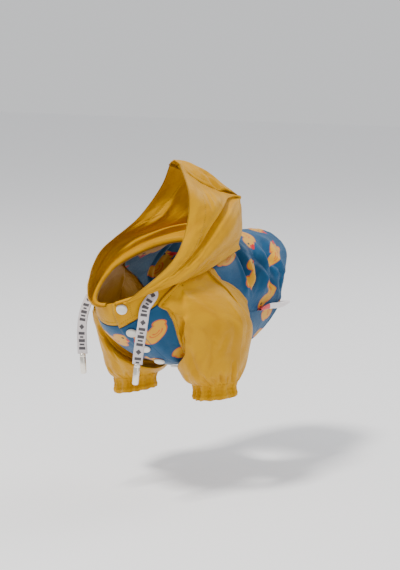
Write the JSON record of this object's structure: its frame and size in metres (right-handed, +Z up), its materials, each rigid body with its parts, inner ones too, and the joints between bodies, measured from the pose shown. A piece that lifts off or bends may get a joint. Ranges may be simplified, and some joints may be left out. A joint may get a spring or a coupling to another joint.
{
  "type": "dog raincoat",
  "caption": "Hooded raincoat for a small dog, with raglan sleeves, elastic cuffs, a snap front, a hood drawstring and a printed body, held in its worn shape.",
  "frame": {"origin": "middle of the neck seam at the back, where the wearer's withers carry the coat", "axes": "+Z up, the chest faces -Y, the wearer's left side faces +X"},
  "size_m": [0.1768, 0.2746, 0.2609],
  "materials": {
    "yellow_cloth": "smooth coated plain weave, slight sheen",
    "print_cloth": "smooth coated plain weave with an all-over print of yellow ducks",
    "snap_plastic": "smooth moulded",
    "tape": "flat woven tape with a plain repeat of dark marks",
    "tip_metal": "pressed metal",
    "label_cloth": "folded satin ribbon with a red end"
  },
  "bodies": {
    "root": {"back_panel": "print_cloth", "front_left": "print_cloth", "front_right": "print_cloth", "yoke_left": "yellow_cloth", "yoke_right": "yellow_cloth", "sleeve_left": "yellow_cloth", "sleeve_right": "yellow_cloth", "cuff_left": "yellow_cloth", "cuff_right": "yellow_cloth", "hood_left": "yellow_cloth", "hood_right": "yellow_cloth", "hood_top": "yellow_cloth", "snap_1": "snap_plastic", "snap_2": "snap_plastic", "snap_3": "snap_plastic", "snap_4": "snap_plastic", "snap_5": "snap_plastic", "snap_6": "snap_plastic", "drawstring_left": "tape", "drawstring_right": "tape", "tip_left": "tip_metal", "tip_right": "tip_metal", "side_label": "label_cloth"}
  },
  "joints": []
}
